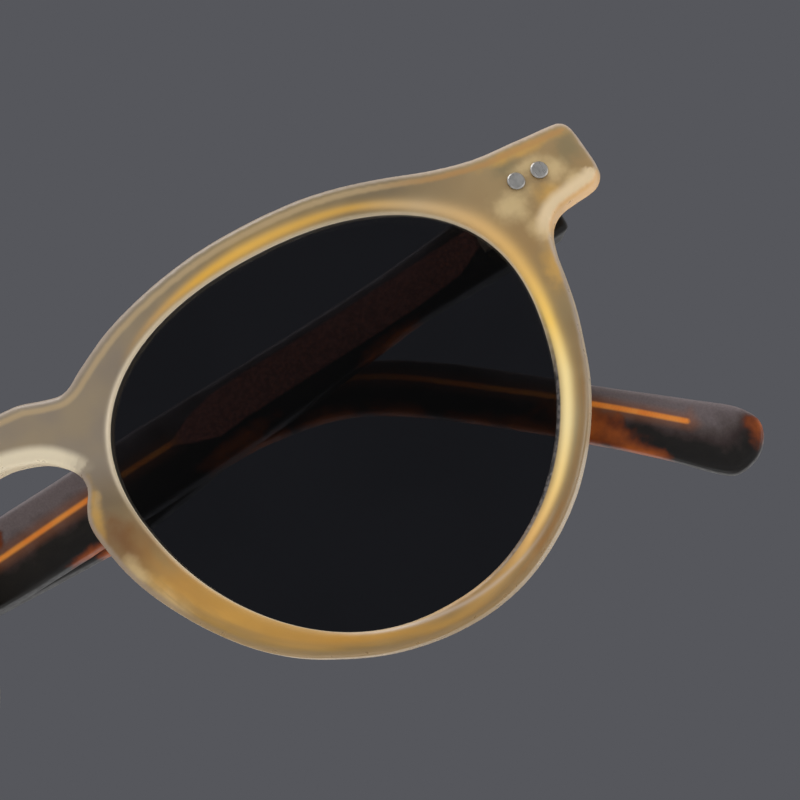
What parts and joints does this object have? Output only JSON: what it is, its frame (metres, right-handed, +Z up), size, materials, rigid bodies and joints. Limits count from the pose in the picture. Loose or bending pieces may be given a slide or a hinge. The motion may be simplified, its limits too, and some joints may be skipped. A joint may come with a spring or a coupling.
{
  "type": "folding sunglasses",
  "caption": "Round panto acetate sunglasses with a keyhole bridge, dark lenses and two tortoise temples folded behind the front on barrel hinges.",
  "frame": {"origin": "middle of the gap for the nose, on the plane of symmetry and on the foremost line of the front, at the height of the lens centres", "axes": "+X to the wearer's left, +Y from the front towards the ears, +Z up; the temples are folded at rest"},
  "size_m": [0.1598, 0.0265, 0.0528],
  "materials": {
    "front_acetate": "frosted honey acetate, matte and translucent",
    "temple_acetate": "dark tortoise acetate with amber patches, matte",
    "lens": "dark grey, clear and polished",
    "steel": "satin",
    "core_metal": "rolled, with a fine texture"
  },
  "bodies": {
    "front": {"front": "front_acetate", "lens_left": "lens", "lens_right": "lens", "nose_pad_left": "front_acetate", "nose_pad_right": "front_acetate", "hinge_front_left": "steel", "hinge_front_right": "steel", "hinge_screw_left": "steel", "hinge_screw_right": "steel", "rivet_front_left_inner": "steel", "rivet_front_left_outer": "steel", "rivet_front_right_inner": "steel", "rivet_front_right_outer": "steel"},
    "left_temple": {"temple_left": "temple_acetate", "core_wire_left": "core_metal", "hinge_temple_left": "steel", "rivet_temple_left_near": "steel", "rivet_temple_left_far": "steel"},
    "right_temple": {"temple_right": "temple_acetate", "core_wire_right": "core_metal", "hinge_temple_right": "steel", "rivet_temple_right_near": "steel", "rivet_temple_right_far": "steel"}
  },
  "joints": [
    {"name": "left_fold", "type": "hinge", "parent": "front", "child": "left_temple", "pos_m": [0.07121, 0.01797, 0.0156], "axis": [0, 0, -1], "range_deg": [0, 90]},
    {"name": "right_fold", "type": "hinge", "parent": "front", "child": "right_temple", "pos_m": [-0.07121, 0.01797, 0.0156], "axis": [0, 0, 1], "range_deg": [0, 87.1]}
  ]
}
